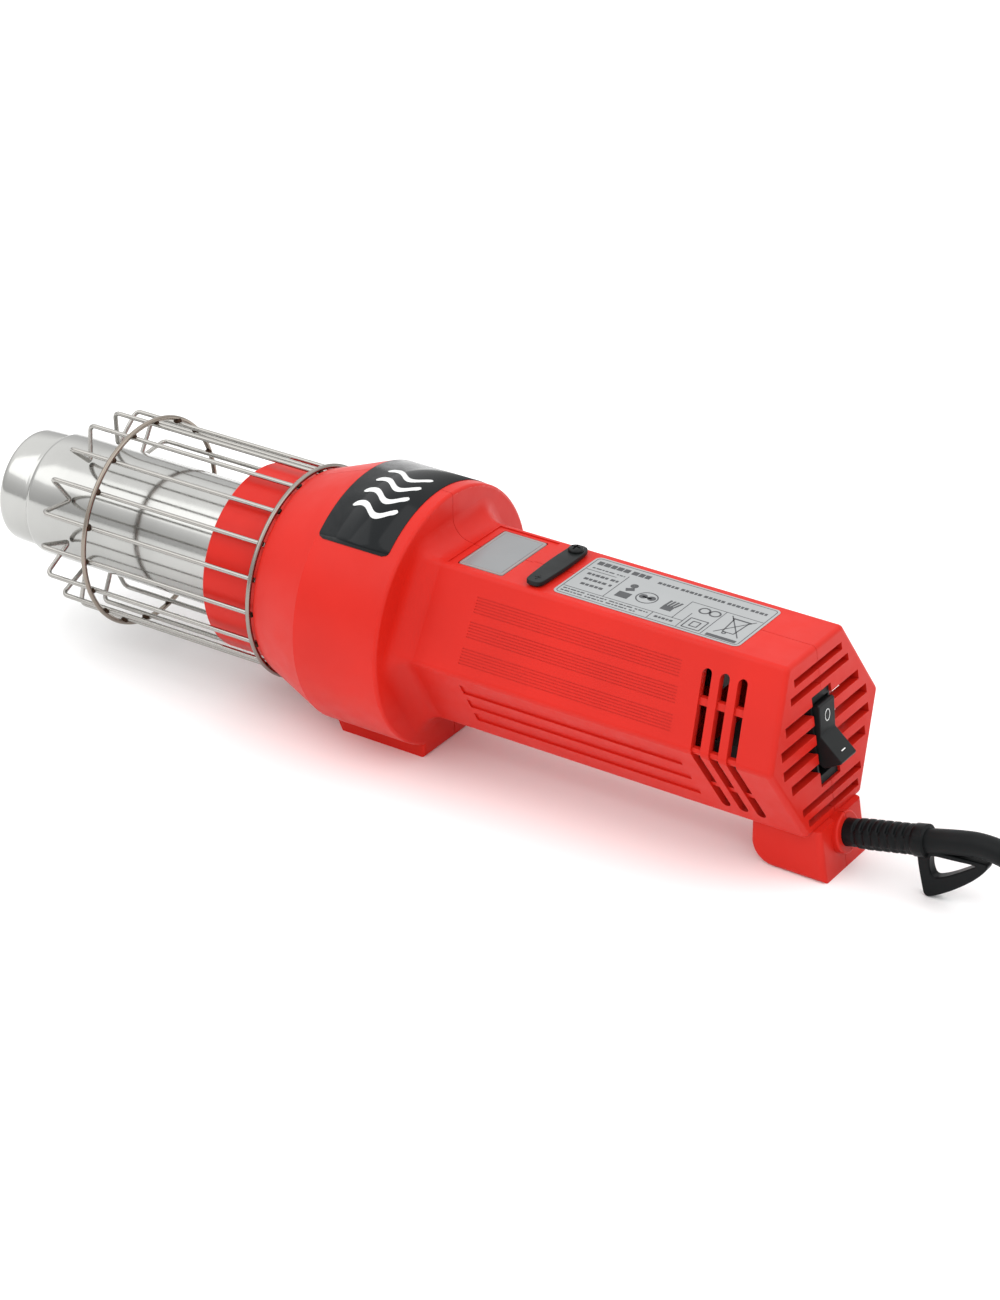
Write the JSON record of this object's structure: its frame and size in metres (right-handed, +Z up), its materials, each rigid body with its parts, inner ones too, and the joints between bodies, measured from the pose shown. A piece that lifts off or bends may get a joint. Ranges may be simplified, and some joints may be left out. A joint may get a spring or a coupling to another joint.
{
  "type": "heat gun",
  "caption": "Corded hot-air gun with a steel nozzle inside a wire guard, a flared drum and a six-sided handle with a rocker switch at its rear end.",
  "frame": {"origin": "centre of the bottom of the tool's bounding box, on the surface its two feet stand on, without the cord pieces", "axes": "+X from the nozzle to the switch end, +Z up, +Y to the right of someone looking along -X from the switch end"},
  "size_m": [0.5971, 0.155, 0.1015],
  "materials": {
    "red_shell": "satin moulded nylon",
    "bright_steel": "polished stainless sheet",
    "wire_steel": "drawn wire with heat tint at the welds",
    "screw_steel": "zinc plated",
    "iron": "laminated iron",
    "resistance_wire": "oxidised resistance wire",
    "mica": "mica sheet",
    "pale_plastic": "moulded",
    "black_plastic": "satin moulded",
    "black_gloss": "printed film",
    "smoke_lens": "smoked clear",
    "board": "solder resist",
    "aluminium": "extruded",
    "label": "printed foil",
    "cord_rubber": "matt"
  },
  "bodies": {
    "tool": {"housing_left": "red_shell", "housing_right": "red_shell", "front_collar": "red_shell", "nozzle_tube": "bright_steel", "guard_front_ring": "wire_steel", "guard_rear_ring": "wire_steel", "guard_wire_1": "wire_steel", "guard_wire_2": "wire_steel", "guard_wire_3": "wire_steel", "guard_wire_4": "wire_steel", "guard_wire_5": "wire_steel", "guard_wire_6": "wire_steel", "guard_wire_7": "wire_steel", "guard_wire_8": "wire_steel", "guard_wire_9": "wire_steel", "heat_shield": "bright_steel", "heater_flange": "bright_steel", "mica_sleeve": "mica", "heater_former": "mica", "heating_coil": "resistance_wire", "thermal_cutout": "black_plastic", "air_guide": "pale_plastic", "motor_case": "iron", "brush_cap": "black_plastic", "front_bearing": "bright_steel", "rear_bearing": "bright_steel", "motor_mount": "pale_plastic", "display_lens": "smoke_lens", "display_module": "pale_plastic", "control_board": "board", "power_heatsink": "aluminium", "terminal_block": "pale_plastic", "tab_screw": "screw_steel", "rating_plate": "label", "wrap_badge": "black_gloss", "switch_case": "black_plastic", "housing_screws": "screw_steel", "cord_clamp": "black_plastic", "clamp_screws": "screw_steel", "strain_relief": "cord_rubber", "cord": "cord_rubber", "cord_tail": "cord_rubber", "cord_coil": "cord_rubber", "cord_tie": "black_plastic", "plug_body": "black_plastic", "plug_pins": "bright_steel"},
    "rocker": {"rocker": "black_plastic"},
    "tab": {"swing_tab": "black_plastic"},
    "adjuster_knob": {"adjuster": "pale_plastic"},
    "fan": {"fan_impeller": "pale_plastic", "motor_shaft": "bright_steel", "motor_rotor": "iron"}
  },
  "joints": [
    {"name": "rocker_tilt", "type": "hinge", "parent": "tool", "child": "rocker", "pos_m": [0.16813, 0, 0.04946], "axis": [0, 1, 0], "range_deg": [0, 36]},
    {"name": "tab_swing", "type": "hinge", "parent": "tool", "child": "tab", "pos_m": [0.0609, 0.0117, 0.0852], "axis": [0, 0, 1], "range_deg": [-95, 95]},
    {"name": "adjuster_turn", "type": "hinge", "parent": "tool", "child": "adjuster_knob", "pos_m": [0.0609, -0.0105, 0.0812], "axis": [0, 0, 1], "range_deg": [-135, 135]},
    {"name": "fan_spin", "type": "hinge", "parent": "tool", "child": "fan", "pos_m": [-0.0141, 0, 0.0512], "axis": [1, 0, 0], "continuous": true}
  ]
}
